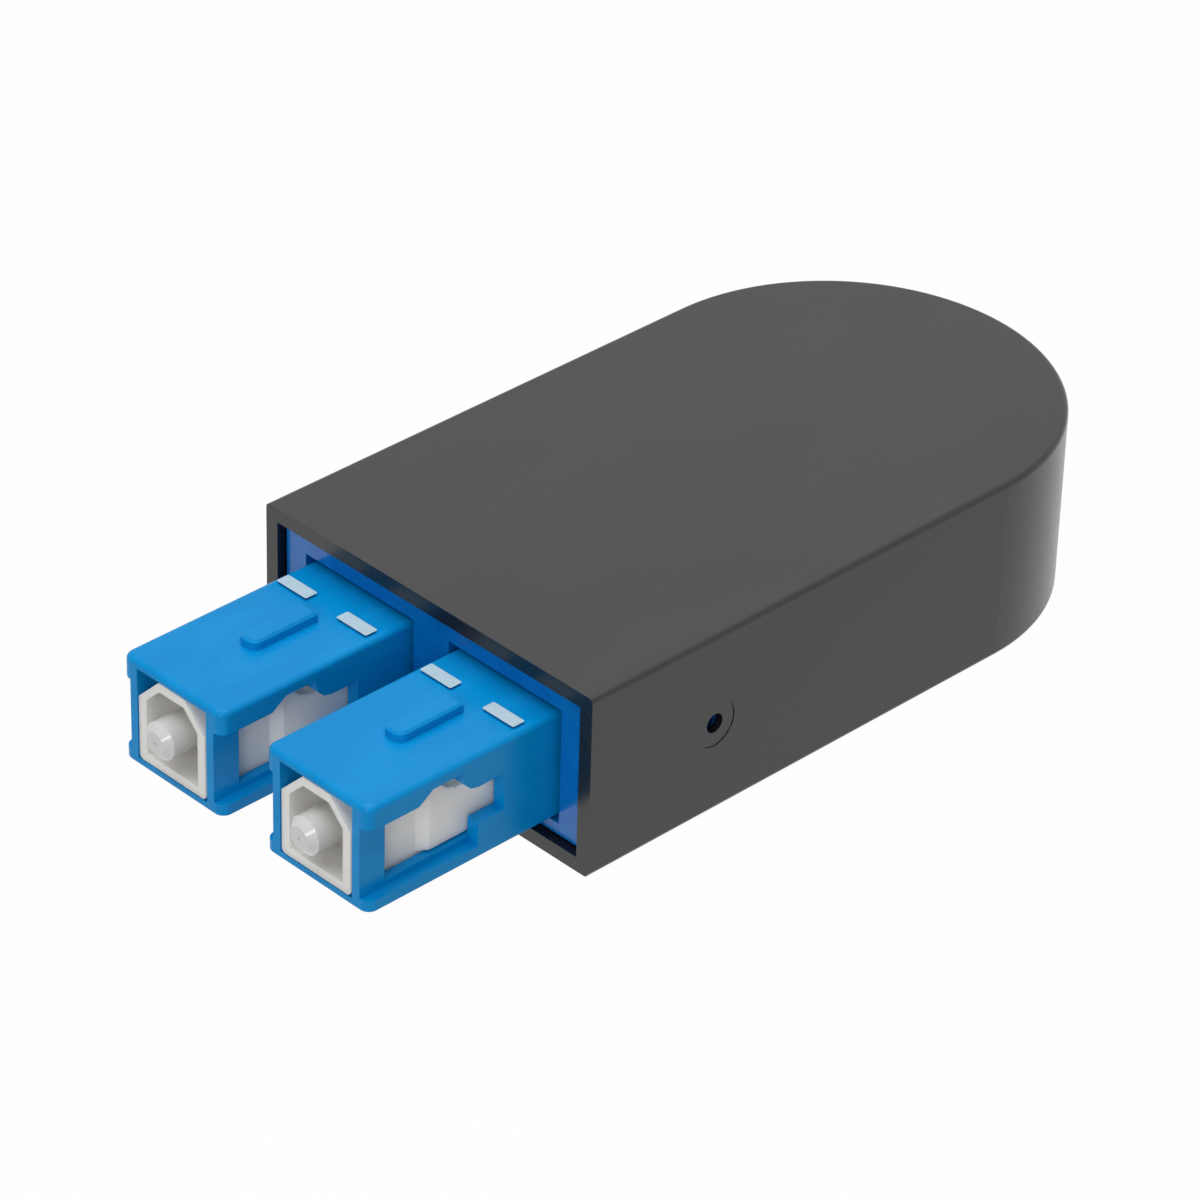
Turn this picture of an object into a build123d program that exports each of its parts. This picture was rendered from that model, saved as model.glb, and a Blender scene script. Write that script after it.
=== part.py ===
"""Fibre loopback plug: two push-pull connectors joined by a fibre loop in a D-shaped housing.

Millimetres, +Z up.  The connectors face -Y, the round end of the housing faces +Y, and the
origin is at the middle of the underside of the overall box.
"""

from build123d import *
from math import atan2, cos, degrees, radians, sin, sqrt
import os

# ---------------------------------------------------------------- clearances
seat_clearance = 0.1  # between fixed pieces that slide together on assembly
contact_gap = 0.05  # between pieces that rest on each other
overshoot = 1.0  # cutters past the faces they cut

# ---------------------------------------------------------------- plug frame
cavity_width = 4.6
cavity_height = 5.0
cavity_bevel = 1.2
cavity_depth = 5.7
frame_side_wall = 0.67
frame_top_wall = 0.6
frame_bevel = 1.8
frame_bevel_length = 4.6  # top corners bevelled this far back, square behind
frame_edge_round = 0.3
frame_float = 0.8  # travel of the frame each way in its sleeve
shoulder_thickness = 1.0
chamber_radius = 2.3
boss_height = 0.45
boss_ramp_start = 4.97  # behind the front of the sleeve
boss_ramp_length = 0.72
boss_end = 11.2
boss_top = 1.15  # above the connector axis
boss_bottom = 2.3  # below the connector axis
boss_step_low = 1.6  # foot of the step's slope above the connector axis
boss_step_top = 2.6
boss_hook_gap = 0.1  # boss to the sleeve's hook at the end of its float
lug_height = 0.6
lug_length = 1.0
barb_slot_length = 1.4
barb_slot_height = 2.2
barb_slot_from_rear = 1.2

# ---------------------------------------------------------------- outer sleeve
frame_side_clearance = 0.13
frame_top_clearance = 0.08
sleeve_side_wall = 1.375
sleeve_top_wall = 0.495
sleeve_front_round = 0.7  # upright front corners
sleeve_top_round = 0.4
sleeve_bottom_round = 0.15
sleeve_flange_rim = 0.8
sleeve_flange_thickness = 1.2
connector_reach = 14.2  # housing rim to the front of the sleeves
connector_pitch = 12.7

key_width = 1.6
key_height = 0.65
key_start = 5.7  # behind the front of the sleeve
key_length = 5.0
key_round = 0.6
key_edge_break = 0.15

side_recess_depth = 0.75
side_recess_top = 2.1  # above the connector axis
side_recess_bottom = 2.85  # below the connector axis
side_window_start = 1.95
side_window_top = 1.5
side_window_bottom = 2.45
side_window_rise_start = 3.9
side_window_rise_end = 5.0
side_window_high = 2.85
side_hook_start = 7.3
side_hook_round = 1.2
side_hook_bottom = 1.35
side_tab_start = 8.55
side_tab_top = 1.2
collar_start = 10.6

# ---------------------------------------------------------------- ferrule parts
ferrule_radius = 1.25
ferrule_length = 10.5
ferrule_lead = 1.3  # tip ahead of the sleeve's front
ferrule_tip_radius = 0.75
ferrule_tip_chamfer = 0.45
ferrule_dome_radius = 20.0
ferrule_travel = 1.0
ferrule_free_length = 7.0  # full diameter behind the tip
ferrule_root_step = 0.2  # the root behind it is this much smaller in radius
shoulder_clearance = 0.15  # ferrule in the shoulder's hole

flange_chamber_clearance = 0.15
flange_collar_length = 1.5
flange_hub_length = 3.0
flange_edge_break = 0.25
flange_notch_width = 0.9
flange_notch_depth = 0.5
flange_notches = 4
notch_clearance = 0.1

fibre_radius = 0.45
tube_bore_clearance = 0.075
tube_wall = 0.275
tube_tail = 4.8  # tube past the rear face of the spring stop's flange

spring_wire = 0.4
spring_chamber_clearance = 0.25
spring_hub_clearance = 0.2
spring_turns = 7.0

stop_plug_length = 3.0
stop_plug_clearance = 0.1
stop_bore_clearance = 0.2
stop_flange_overlap = 0.55  # flange past the frame's chamber
stop_flange_length = 1.2
stop_spigot_wall = 0.5
stop_spigot_length = 4.0
barb_clearance = 0.1
barb_reach = 0.35  # barb past the frame's chamber

boot_wall = 0.5
boot_tip_wall = 0.4
boot_bore_clearance = 0.15
boot_length = 8.3
boot_rib_count = 4
boot_rib_width = 0.5
boot_rib_depth = 0.25

# ---------------------------------------------------------------- front plate and retainer
plate_recess = 0.5  # housing rim to the front of the plate
plate_thickness = 2.3
plate_edge_break = 0.2
window_clearance = 0.35  # sleeve in the plate's window
arm_thickness = 1.1
arm_height = 6.0
arm_overrun = 2.0  # arm past the middle of its peg
arm_flange_clearance = 0.375
peg_radius = 1.25
peg_bore_radius = 0.85
peg_height = 0.35  # past the housing's inner face
peg_clearance = 0.05
post_width = 1.4
post_height = 6.0
retainer_thickness = 1.5
retainer_rim = 0.125  # retainer past the sleeves' flanges, above and below
retainer_window_clearance = 0.12
retainer_tab_height = 3.0

# ---------------------------------------------------------------- housing
housing_straight = 35.0  # open rim to the start of the round end
housing_wall = 1.0
housing_flange_clearance = 0.825  # sleeve flange to the housing's floor and roof
housing_edge_round = 0.35
connector_drop = 0.2  # connector axis below the housing's middle
rail_width = 0.8
rail_height = 0.5
rail_offset = 7.0  # middle of a rail from the middle of the housing
release_hole_radius = 0.65  # through the snap pocket's floor
snap_depth = 10.2  # housing rim to the middle of the release hole
snap_dimple_radius = 1.6
snap_dimple_depth = 0.05

# ---------------------------------------------------------------- fibre and loop guide
fibre_wall_room = 2.2  # housing wall to the middle of the fibre
fibre_straight_tail = 0.6  # straight fibre behind a boot at its rearmost before the bend
fibre_tip_margin = 0.3
guide_floor = 1.0
guide_clearance = 0.2
guide_boot_gap = 2.2
guide_hole_radius = 6.0
drum_wall = 1.2
ledge_width = 2.0
ledge_reach = 1.4  # ledge past the middle of the fibre
finger_thickness = 0.7
finger_width = 1.6
spine_width = 3.0

# ---------------------------------------------------------------- worked-out sizes
frame_half_width = cavity_width / 2 + frame_side_wall
frame_half_height = cavity_height / 2 + frame_top_wall
boss_half_width = frame_half_width + boss_height
lug_half_width = frame_half_width + lug_height
sleeve_bore_half_width = frame_half_width + frame_side_clearance
sleeve_bore_half_height = frame_half_height + frame_top_clearance
sleeve_half_width = sleeve_bore_half_width + sleeve_side_wall
sleeve_half_height = sleeve_bore_half_height + sleeve_top_wall
flange_half_width = sleeve_half_width + sleeve_flange_rim
flange_half_height = sleeve_half_height + sleeve_flange_rim
arm_inner_x = connector_pitch / 2 + flange_half_width + arm_flange_clearance
arm_outer_x = arm_inner_x + arm_thickness
cavity_half_width = arm_outer_x + seat_clearance
housing_half_width = cavity_half_width + housing_wall
housing_height = 2 * (flange_half_height + housing_flange_clearance + housing_wall)
middle_z = housing_height / 2
axis_z = middle_z - connector_drop
collar_radius = chamber_radius - flange_chamber_clearance
spring_mean_radius = chamber_radius - spring_chamber_clearance - spring_wire / 2
hub_radius = spring_mean_radius - spring_wire / 2 - spring_hub_clearance
ferrule_root_radius = ferrule_radius - ferrule_root_step
tube_bore_radius = fibre_radius + tube_bore_clearance
tube_radius = tube_bore_radius + tube_wall
stop_bore_radius = tube_radius + stop_bore_clearance
spigot_radius = stop_bore_radius + stop_spigot_wall
stop_flange_radius = chamber_radius + stop_flange_overlap
boot_front_radius = spigot_radius + boot_wall
boot_bore_radius = tube_radius + boot_bore_clearance
boot_rear_radius = boot_bore_radius + boot_tip_wall
fibre_loop_radius = cavity_half_width - fibre_wall_room
drum_radius = fibre_loop_radius - fibre_radius - seat_clearance

# ---------------------------------------------------------------- worked-out places
front_y = -(connector_reach + ferrule_lead + housing_straight + housing_half_width) / 2
sleeve_front_y = front_y + ferrule_lead
rim_y = sleeve_front_y + connector_reach
round_centre_y = rim_y + housing_straight
snap_y = rim_y + snap_depth
plate_front_y = rim_y + plate_recess
plate_rear_y = plate_front_y + plate_thickness
flange_front_y = plate_rear_y + contact_gap
flange_rear_y = flange_front_y + sleeve_flange_thickness
retainer_front_y = flange_rear_y + contact_gap
retainer_rear_y = retainer_front_y + retainer_thickness
frame_rear_y = retainer_rear_y + frame_float + contact_gap
lug_rear_y = retainer_front_y - frame_float - contact_gap
lug_front_y = lug_rear_y - lug_length
sleeve_step_y = lug_front_y - frame_float - contact_gap
shoulder_front_y = sleeve_front_y + cavity_depth
shoulder_rear_y = shoulder_front_y + shoulder_thickness
ferrule_rear_y = front_y + ferrule_length
collar_rear_y = shoulder_rear_y + flange_collar_length
hub_rear_y = collar_rear_y + flange_hub_length
stop_front_y = frame_rear_y - stop_plug_length
stop_flange_rear_y = frame_rear_y + stop_flange_length
spigot_rear_y = stop_flange_rear_y + stop_spigot_length
boot_rear_y = stop_flange_rear_y + boot_length
tube_rear_y = stop_flange_rear_y + tube_tail
barb_slot_rear_y = frame_rear_y - barb_slot_from_rear
barb_slot_front_y = barb_slot_rear_y - barb_slot_length
fibre_tip_y = ferrule_rear_y + ferrule_travel + frame_float + fibre_tip_margin
fibre_bend_y = boot_rear_y + frame_float + fibre_straight_tail
guide_front_y = boot_rear_y + frame_float + guide_boot_gap

sides = {"left": -connector_pitch / 2, "right": connector_pitch / 2}


def block(x_span, y_span, z_span):
    """A box given by its low and high face along each axis."""
    spans = (x_span, y_span, z_span)
    centre = [(low + high) / 2 for low, high in spans]
    lengths = [high - low for low, high in spans]
    return Pos(*centre) * Box(*lengths)


def rod(radius, y_span):
    """A cylinder about the local connector axis."""
    low, high = y_span
    return Pos(0, (low + high) / 2, 0) * Rot(90, 0, 0) * Cylinder(radius, high - low)


def turned(points):
    """A solid of revolution about the connector axis from (radius, y) points."""
    return revolve(make_face(Polyline(*points, close=True)), Axis.Y)


def both_sides(solid):
    """The solid and its mirror image across the connector's middle."""
    return solid + mirror(solid, Plane.YZ)


def bevelled_bar(half_width, half_height, bevel, y_span):
    """A bar along the connector axis whose two top corners are bevelled."""
    bar = block((-half_width, half_width), y_span, (-half_height, half_height))
    top_edges = bar.edges().filter_by(Axis.Y).group_by(Axis.Z)[-1]
    return chamfer(top_edges, bevel)


def d_outline(half_width, front_y):
    """Flat outline with straight sides and a round far end."""
    walls = Polyline(
        (-half_width, round_centre_y),
        (-half_width, front_y),
        (half_width, front_y),
        (half_width, round_centre_y),
    )
    far_end = ThreePointArc(
        (half_width, round_centre_y),
        (0, round_centre_y + half_width),
        (-half_width, round_centre_y),
    )
    return make_face(walls + far_end)


def housing_shell():
    """Black one-piece cup, open at the front, with guide rails and snap pockets."""
    body = extrude(d_outline(housing_half_width, rim_y), housing_height)
    levels = body.edges().group_by(Axis.Z)
    outline = ShapeList(levels[0] + levels[-1])
    outline = outline.filter_by(lambda edge: edge.center().Y > rim_y + housing_edge_round)
    body = fillet(outline, housing_edge_round)
    cavity = extrude(d_outline(cavity_half_width, rim_y), housing_height - 2 * housing_wall)
    body -= Pos(0, 0, housing_wall) * cavity
    for x in (-rail_offset, rail_offset):
        body += block(
            (x - rail_width / 2, x + rail_width / 2),
            (guide_front_y, round_centre_y),
            (housing_wall / 2, housing_wall + rail_height),
        )
    across = Rot(0, 90, 0)
    pocket_half = cavity_half_width + peg_height + peg_clearance
    pockets = Cylinder(peg_radius + peg_clearance, 2 * pocket_half)
    pockets += Cylinder(release_hole_radius, 2 * (housing_half_width + overshoot))
    body -= Pos(0, snap_y, middle_z) * across * pockets
    for x in (-housing_half_width, housing_half_width):
        dimple = Cylinder(snap_dimple_radius, 2 * snap_dimple_depth)
        body -= Pos(x, snap_y, middle_z) * across * dimple
    return body


def snap_arm():
    """Arm along the right side wall, with the hollow peg that clicks into the snap pocket."""
    arm = block(
        (arm_inner_x, arm_outer_x),
        (plate_rear_y - plate_edge_break, snap_y + arm_overrun),
        (middle_z - arm_height / 2, middle_z + arm_height / 2),
    )
    tip_edges = arm.edges().filter_by(Axis.Z).group_by(Axis.Y)[-1]
    arm = chamfer(tip_edges, arm_thickness / 3)
    slot_half = retainer_tab_height / 2 + seat_clearance
    arm -= block(
        (arm_inner_x - arm_thickness, arm_outer_x + arm_thickness),
        (retainer_front_y - seat_clearance, retainer_rear_y + seat_clearance),
        (middle_z - slot_half, middle_z + slot_half),
    )
    peg_length = cavity_half_width + peg_height - arm_inner_x
    place = Pos(arm_inner_x + peg_length / 2, snap_y, middle_z) * Rot(0, 90, 0)
    arm += place * Cylinder(peg_radius, peg_length)
    return arm - place * Cylinder(peg_bore_radius, peg_length + overshoot)


def front_plate():
    """Blue plate in the housing's mouth, with a window for each sleeve and two snap arms."""
    plate = block(
        (-arm_outer_x, arm_outer_x),
        (plate_front_y, plate_rear_y),
        (housing_wall + seat_clearance, housing_height - housing_wall - seat_clearance),
    )
    plate = chamfer(plate.faces().sort_by(Axis.Y)[0].edges(), plate_edge_break)
    half_width = sleeve_half_width + window_clearance
    half_height = sleeve_half_height + window_clearance
    window = block(
        (-half_width, half_width),
        (plate_front_y - overshoot, plate_rear_y + overshoot),
        (axis_z - half_height, axis_z + half_height),
    )
    for x in sides.values():
        plate -= Pos(x, 0, 0) * window
    plate += block(
        (-post_width / 2, post_width / 2),
        (plate_rear_y - plate_edge_break, retainer_front_y),
        (middle_z - post_height / 2, middle_z + post_height / 2),
    )
    return plate + both_sides(snap_arm())


def sleeve_retainer():
    """Plate behind the sleeves' flanges, clipped into the front plate's arms."""
    half_width = arm_inner_x - seat_clearance
    half_height = flange_half_height + retainer_rim
    depth = (retainer_front_y, retainer_rear_y)
    plate = block((-half_width, half_width), depth, (axis_z - half_height, axis_z + half_height))
    plate = chamfer(plate.edges().filter_by(Axis.Y), retainer_thickness / 2)
    tab_half = retainer_tab_height / 2
    plate += block((-arm_outer_x, arm_outer_x), depth, (middle_z - tab_half, middle_z + tab_half))
    opening_half_width = frame_half_width + retainer_window_clearance
    opening_half_height = frame_half_height + retainer_window_clearance
    opening = block(
        (-opening_half_width, opening_half_width),
        (retainer_front_y - overshoot, retainer_rear_y + overshoot),
        (-opening_half_height, opening_half_height),
    )
    for x in sides.values():
        plate -= Pos(x, 0, axis_z) * opening
    return plate


def key_bar():
    """Raised key on top of a sleeve, rounded at its front."""
    key_front_y = sleeve_front_y + key_start
    bar = block(
        (-key_width / 2, key_width / 2),
        (key_front_y, key_front_y + key_length),
        (sleeve_half_height - sleeve_top_wall / 2, sleeve_half_height + key_height),
    )
    nose = bar.edges().filter_by(Axis.Z).group_by(Axis.Y)[0]
    bar = fillet(nose, key_round)
    return chamfer(bar.faces().sort_by(Axis.Z)[-1].edges(), key_edge_break)


def side_hook():
    """Points of the side opening's rounded hook: behind the sleeve's front, above its axis."""
    points = []
    for angle in (0, 30, 60, 90):
        back = side_hook_start + side_hook_round * (1 - cos(radians(angle)))
        height = side_hook_bottom + side_hook_round * (1 - sin(radians(angle)))
        points.append((back, height))
    return points


def side_outline(front_points, bottom):
    """Side opening: the given front, the rise, the rounded hook, the collar and the tab."""
    outline = front_points + [
        (side_window_rise_end, side_window_high),
        (side_hook_start, side_window_high),
        *side_hook(),
        (collar_start, side_hook_bottom),
        (collar_start, -side_tab_top),
        (side_tab_start, -side_tab_top),
        (side_tab_start, -bottom),
    ]
    placed = [(0, sleeve_front_y + back, height) for back, height in outline]
    return make_face(Polyline(*placed, close=True))


def sleeve_side_cut():
    """Shallow recess in one side of a sleeve, with the window for the adapter's latch."""
    recess = side_outline(
        [
            (-overshoot, -side_recess_bottom),
            (-overshoot, side_recess_top),
            (side_window_rise_start, side_recess_top),
        ],
        side_recess_bottom,
    )
    window = side_outline(
        [
            (side_window_start, -side_window_bottom),
            (side_window_start, side_window_top),
            (side_window_rise_start, side_window_top),
        ],
        side_window_bottom,
    )
    reach = sleeve_half_width + overshoot
    shallow = Pos(sleeve_half_width - side_recess_depth, 0, 0) * recess
    cut = extrude(shallow, side_recess_depth + overshoot, dir=(1, 0, 0))
    return cut + extrude(window, reach, dir=(1, 0, 0))


def sleeve_bore():
    """The room inside a sleeve for the plug frame, its side bosses and its rear lugs."""
    side_height = (-boss_bottom - frame_side_clearance, boss_top + frame_side_clearance)
    boss_half = boss_half_width + frame_side_clearance
    lug_half = lug_half_width + frame_side_clearance
    boss_rear_y = sleeve_front_y + boss_end + frame_float + contact_gap
    through_y = flange_rear_y + overshoot
    bore = block(
        (-sleeve_bore_half_width, sleeve_bore_half_width),
        (sleeve_front_y - overshoot, through_y),
        (-sleeve_bore_half_height, sleeve_bore_half_height),
    )
    bore += block((-boss_half, boss_half), (sleeve_front_y + side_tab_start, boss_rear_y), side_height)
    return bore + block((-lug_half, lug_half), (sleeve_step_y, through_y), side_height)


def outer_sleeve():
    """Blue sleeve about the connector axis, with its key, side openings and rear flange."""
    body = block(
        (-sleeve_half_width, sleeve_half_width),
        (sleeve_front_y, flange_rear_y),
        (-sleeve_half_height, sleeve_half_height),
    )
    body = fillet(body.edges().filter_by(Axis.Z).group_by(Axis.Y)[0], sleeve_front_round)
    body = fillet(body.faces().sort_by(Axis.Z)[-1].edges(), sleeve_top_round)
    body = fillet(body.faces().sort_by(Axis.Z)[0].edges(), sleeve_bottom_round)
    body += key_bar()
    body += block(
        (-flange_half_width, flange_half_width),
        (flange_front_y, flange_rear_y),
        (-flange_half_height, flange_half_height),
    )
    return body - both_sides(sleeve_side_cut()) - sleeve_bore()


def frame_side():
    """Latch boss with its ramp and upper step, and the lug behind it, on one side of the frame."""
    inner_x = frame_half_width - frame_side_wall / 2
    start_y = sleeve_front_y + boss_ramp_start
    end_y = sleeve_front_y + boss_end
    profile = Polyline(
        (inner_x, start_y),
        (frame_half_width, start_y),
        (boss_half_width, start_y + boss_ramp_length),
        (boss_half_width, end_y),
        (inner_x, end_y),
        close=True,
    )
    boss = extrude(Pos(0, 0, -boss_bottom) * make_face(profile), boss_bottom + boss_step_top)
    window_slope = (side_window_rise_end - side_window_rise_start) / (side_window_high - side_window_top)
    step_peak = boss_ramp_start + window_slope * (boss_step_top - boss_step_low)
    clear = frame_float + boss_hook_gap
    step_rear = [(back - clear, height - boss_hook_gap) for back, height in side_hook()]
    outline = [
        (boss_ramp_start, -boss_bottom),
        (boss_ramp_start, boss_step_low),
        (step_peak, boss_step_top),
        (side_hook_start - clear, boss_step_top),
        *step_rear,
        (step_rear[-1][0], boss_top),
        (boss_end, boss_top),
        (boss_end, -boss_bottom),
    ]
    placed = [(0, sleeve_front_y + back, height) for back, height in outline]
    boss &= extrude(make_face(Polyline(*placed, close=True)), boss_half_width + overshoot, dir=(1, 0, 0))
    lug = block((inner_x, lug_half_width), (lug_front_y, lug_rear_y), (-boss_bottom, boss_top))
    return boss + lug


def notch_key():
    """Rib in the top of the chamber that keeps the ferrule's flange from turning."""
    half_width = flange_notch_width / 2 - notch_clearance
    inner_z = collar_radius - flange_notch_depth + notch_clearance
    return block(
        (-half_width, half_width),
        (shoulder_rear_y - shoulder_thickness / 2, collar_rear_y),
        (inner_z, chamber_radius + flange_chamber_clearance),
    )


def plug_frame():
    """White inner frame with the front cavity, the ferrule's shoulder and the rear chamber."""
    square_y = sleeve_front_y + frame_bevel_length
    depth = (sleeve_front_y, square_y)
    nose = bevelled_bar(frame_half_width, frame_half_height, frame_bevel, depth)
    nose = fillet(nose.edges().filter_by(Axis.Y).group_by(Axis.Z)[0], frame_edge_round)
    body = block(
        (-frame_half_width, frame_half_width),
        (square_y, frame_rear_y),
        (-frame_half_height, frame_half_height),
    )
    body = nose + fillet(body.edges().filter_by(Axis.Y), frame_edge_round)
    body += both_sides(frame_side())
    cavity_span = (sleeve_front_y - overshoot, shoulder_front_y)
    body -= bevelled_bar(cavity_width / 2, cavity_height / 2, cavity_bevel, cavity_span)
    hole_span = (shoulder_front_y - overshoot, shoulder_rear_y + overshoot)
    body -= rod(ferrule_radius + shoulder_clearance, hole_span)
    body -= rod(chamber_radius, (shoulder_rear_y, frame_rear_y + overshoot))
    body -= block(
        (-boss_half_width, boss_half_width),
        (barb_slot_front_y, barb_slot_rear_y),
        (-barb_slot_height / 2, barb_slot_height / 2),
    )
    key = notch_key()
    return body + key + mirror(key, Plane.XY)


def ferrule():
    """Ceramic ferrule with a domed, chamfered tip and a stepped root."""
    dome_sag = ferrule_dome_radius - sqrt(ferrule_dome_radius**2 - ferrule_tip_radius**2)
    step_y = front_y + ferrule_free_length
    tip = ThreePointArc(
        (0, front_y),
        (ferrule_tip_radius / 2, front_y + dome_sag / 4),
        (ferrule_tip_radius, front_y + dome_sag),
    )
    flank = Polyline(
        (ferrule_tip_radius, front_y + dome_sag),
        (ferrule_radius, front_y + ferrule_tip_chamfer),
        (ferrule_radius, step_y),
        (ferrule_root_radius, step_y),
        (ferrule_root_radius, ferrule_rear_y),
        (0, ferrule_rear_y),
        (0, front_y),
    )
    return revolve(make_face(tip + flank), Axis.Y)


def ferrule_flange():
    """Collar and hub on the root of the ferrule, notched so that it cannot turn."""
    body = turned(
        [
            (ferrule_root_radius, shoulder_rear_y),
            (collar_radius - flange_edge_break, shoulder_rear_y),
            (collar_radius, shoulder_rear_y + flange_edge_break),
            (collar_radius, collar_rear_y),
            (hub_radius, collar_rear_y),
            (hub_radius, hub_rear_y),
            (tube_radius, hub_rear_y),
            (tube_radius, ferrule_rear_y),
            (ferrule_root_radius, ferrule_rear_y),
        ]
    )
    notch = block(
        (-flange_notch_width / 2, flange_notch_width / 2),
        (shoulder_rear_y - overshoot, collar_rear_y),
        (collar_radius - flange_notch_depth, collar_radius + overshoot),
    )
    for number in range(flange_notches):
        body -= Rot(0, number * 360 / flange_notches, 0) * notch
    return body


def guide_tube():
    """Thin tube from the flange's hub through the spring stop."""
    outer = rod(tube_radius, (ferrule_rear_y, tube_rear_y))
    return outer - rod(tube_bore_radius, (ferrule_rear_y, tube_rear_y))


def ferrule_spring():
    """Coil spring between the flange's collar and the spring stop."""
    start_y = collar_rear_y + contact_gap + spring_wire / 2
    length = stop_front_y - contact_gap - spring_wire / 2 - start_y
    path = Helix(length / spring_turns, length, spring_mean_radius)
    wire = Plane(path @ 0, z_dir=path % 0) * Circle(spring_wire / 2)
    coil = sweep(wire, path, is_frenet=True)
    return Pos(0, start_y, 0) * Rot(-90, 0, 0) * coil


def spring_stop():
    """Body in the rear of the plug frame that holds the spring and carries the boot."""
    plug_radius = chamber_radius - stop_plug_clearance
    body = turned(
        [
            (stop_bore_radius, stop_front_y),
            (plug_radius, stop_front_y),
            (plug_radius, frame_rear_y),
            (stop_flange_radius, frame_rear_y),
            (stop_flange_radius, stop_flange_rear_y),
            (spigot_radius, stop_flange_rear_y),
            (spigot_radius, spigot_rear_y),
            (stop_bore_radius, spigot_rear_y),
        ]
    )
    half_height = barb_slot_height / 2 - barb_clearance
    barb = block(
        (plug_radius - barb_reach, chamber_radius + barb_reach),
        (barb_slot_front_y + barb_clearance, barb_slot_rear_y - barb_clearance),
        (-half_height, half_height),
    )
    lead_edge = barb.edges().filter_by(Axis.Z).group_by(Axis.Y)[0].sort_by(Axis.X)[-1]
    return body + both_sides(chamfer(lead_edge, barb_reach))


def tail_boot():
    """Soft tapered boot over the spring stop's spigot, with bending grooves."""
    body = turned(
        [
            (spigot_radius, stop_flange_rear_y),
            (boot_front_radius, stop_flange_rear_y),
            (boot_front_radius, spigot_rear_y),
            (boot_rear_radius, boot_rear_y),
            (boot_bore_radius, boot_rear_y),
            (boot_bore_radius, spigot_rear_y),
            (spigot_radius, spigot_rear_y),
        ]
    )
    tail_length = boot_rear_y - spigot_rear_y
    taper = (boot_rear_radius - boot_front_radius) / tail_length
    for number in range(boot_rib_count):
        back = (number + 0.5) * tail_length / boot_rib_count
        floor_radius = boot_front_radius + taper * back - boot_rib_depth
        span = (spigot_rear_y + back - boot_rib_width / 2, spigot_rear_y + back + boot_rib_width / 2)
        body -= rod(boot_front_radius, span) - rod(floor_radius, span)
    return body


def fibre_path():
    """Route of the fibre from ferrule to ferrule: straight runs and tangent arcs."""
    start_x = connector_pitch / 2
    run = round_centre_y - fibre_bend_y
    turn = 2 * atan2(fibre_loop_radius - start_x, run)
    bend_radius = run / (2 * sin(turn))
    print("fibre bend radii", round(bend_radius, 2), round(fibre_loop_radius, 2))
    straight = Line((start_x, fibre_tip_y, 0), (start_x, fibre_bend_y, 0))
    outward = JernArc(straight @ 1, straight % 1, bend_radius, -degrees(turn))
    back = JernArc(outward @ 1, outward % 1, bend_radius, degrees(turn))
    quarter = JernArc(back @ 1, back % 1, fibre_loop_radius, 90)
    right = [straight, outward, back, quarter]
    left = [mirror(piece, Plane.YZ) for piece in right]
    return Wire([edge for piece in right + left for edge in piece.edges()])


def fibre_loop():
    """Buffered fibre in one length."""
    path = Pos(0, 0, axis_z) * fibre_path()
    section = Pos(connector_pitch / 2, fibre_tip_y, axis_z) * Rot(90, 0, 0) * Circle(fibre_radius)
    fibre = sweep(section, path)
    share = fibre.volume / (section.area * path.length)
    print("fibre length", round(path.length, 1), "volume against section times length", round(share, 4))
    return fibre


def loop_guide():
    """Tray with a drum, ledges and fingers that hold the fibre to its bend."""
    floor_top = housing_wall + guide_floor
    ledge_top = axis_z - fibre_radius - contact_gap
    finger_bottom = axis_z + fibre_radius + contact_gap
    finger_top = finger_bottom + finger_thickness
    centre = Pos(0, round_centre_y, 0)
    half_width = cavity_half_width - guide_clearance
    guide = Pos(0, 0, housing_wall) * extrude(d_outline(half_width, guide_front_y), guide_floor)
    guide -= centre * Cylinder(guide_hole_radius, 2 * floor_top)
    drum_height = finger_top - housing_wall
    drum = Cylinder(drum_radius, drum_height) - Cylinder(drum_radius - drum_wall, drum_height)
    guide += centre * Pos(0, 0, housing_wall + drum_height / 2) * drum
    reach = (drum_radius - drum_wall / 2, fibre_loop_radius + ledge_reach)
    ledge_z = (housing_wall + guide_floor / 2, ledge_top)
    ledge = block(reach, (-ledge_width / 2, ledge_width / 2), ledge_z)
    finger = block(reach, (-finger_width / 2, finger_width / 2), (finger_bottom, finger_top))
    for angle in (0, 45, 90, 135, 180):
        guide += centre * Rot(0, 0, angle) * ledge
    for angle in (22.5, 67.5, 112.5, 157.5):
        guide += centre * Rot(0, 0, angle) * finger
    spine = (-spine_width / 2, spine_width / 2)
    spine_end_y = guide_front_y + guide_floor
    guide += block(spine, (retainer_rear_y, spine_end_y), (housing_wall, floor_top))
    guide += block(spine, (retainer_rear_y, retainer_rear_y + guide_floor), (housing_wall, axis_z))
    groove_half = rail_width / 2 + seat_clearance
    for x in (-rail_offset, rail_offset):
        guide -= block(
            (x - groove_half, x + groove_half),
            (guide_front_y - overshoot, round_centre_y + seat_clearance),
            (0, housing_wall + rail_height + seat_clearance),
        )
    return guide


def save(shape, name):
    """Write one piece to its own file."""
    shape.label = name
    export_step(shape, "parts/" + name + ".step")


os.makedirs("parts", exist_ok=True)

save(housing_shell(), "housing_shell")
save(front_plate(), "front_plate")
save(sleeve_retainer(), "sleeve_retainer")
save(loop_guide(), "loop_guide")
save(fibre_loop(), "fibre_loop")

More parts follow.
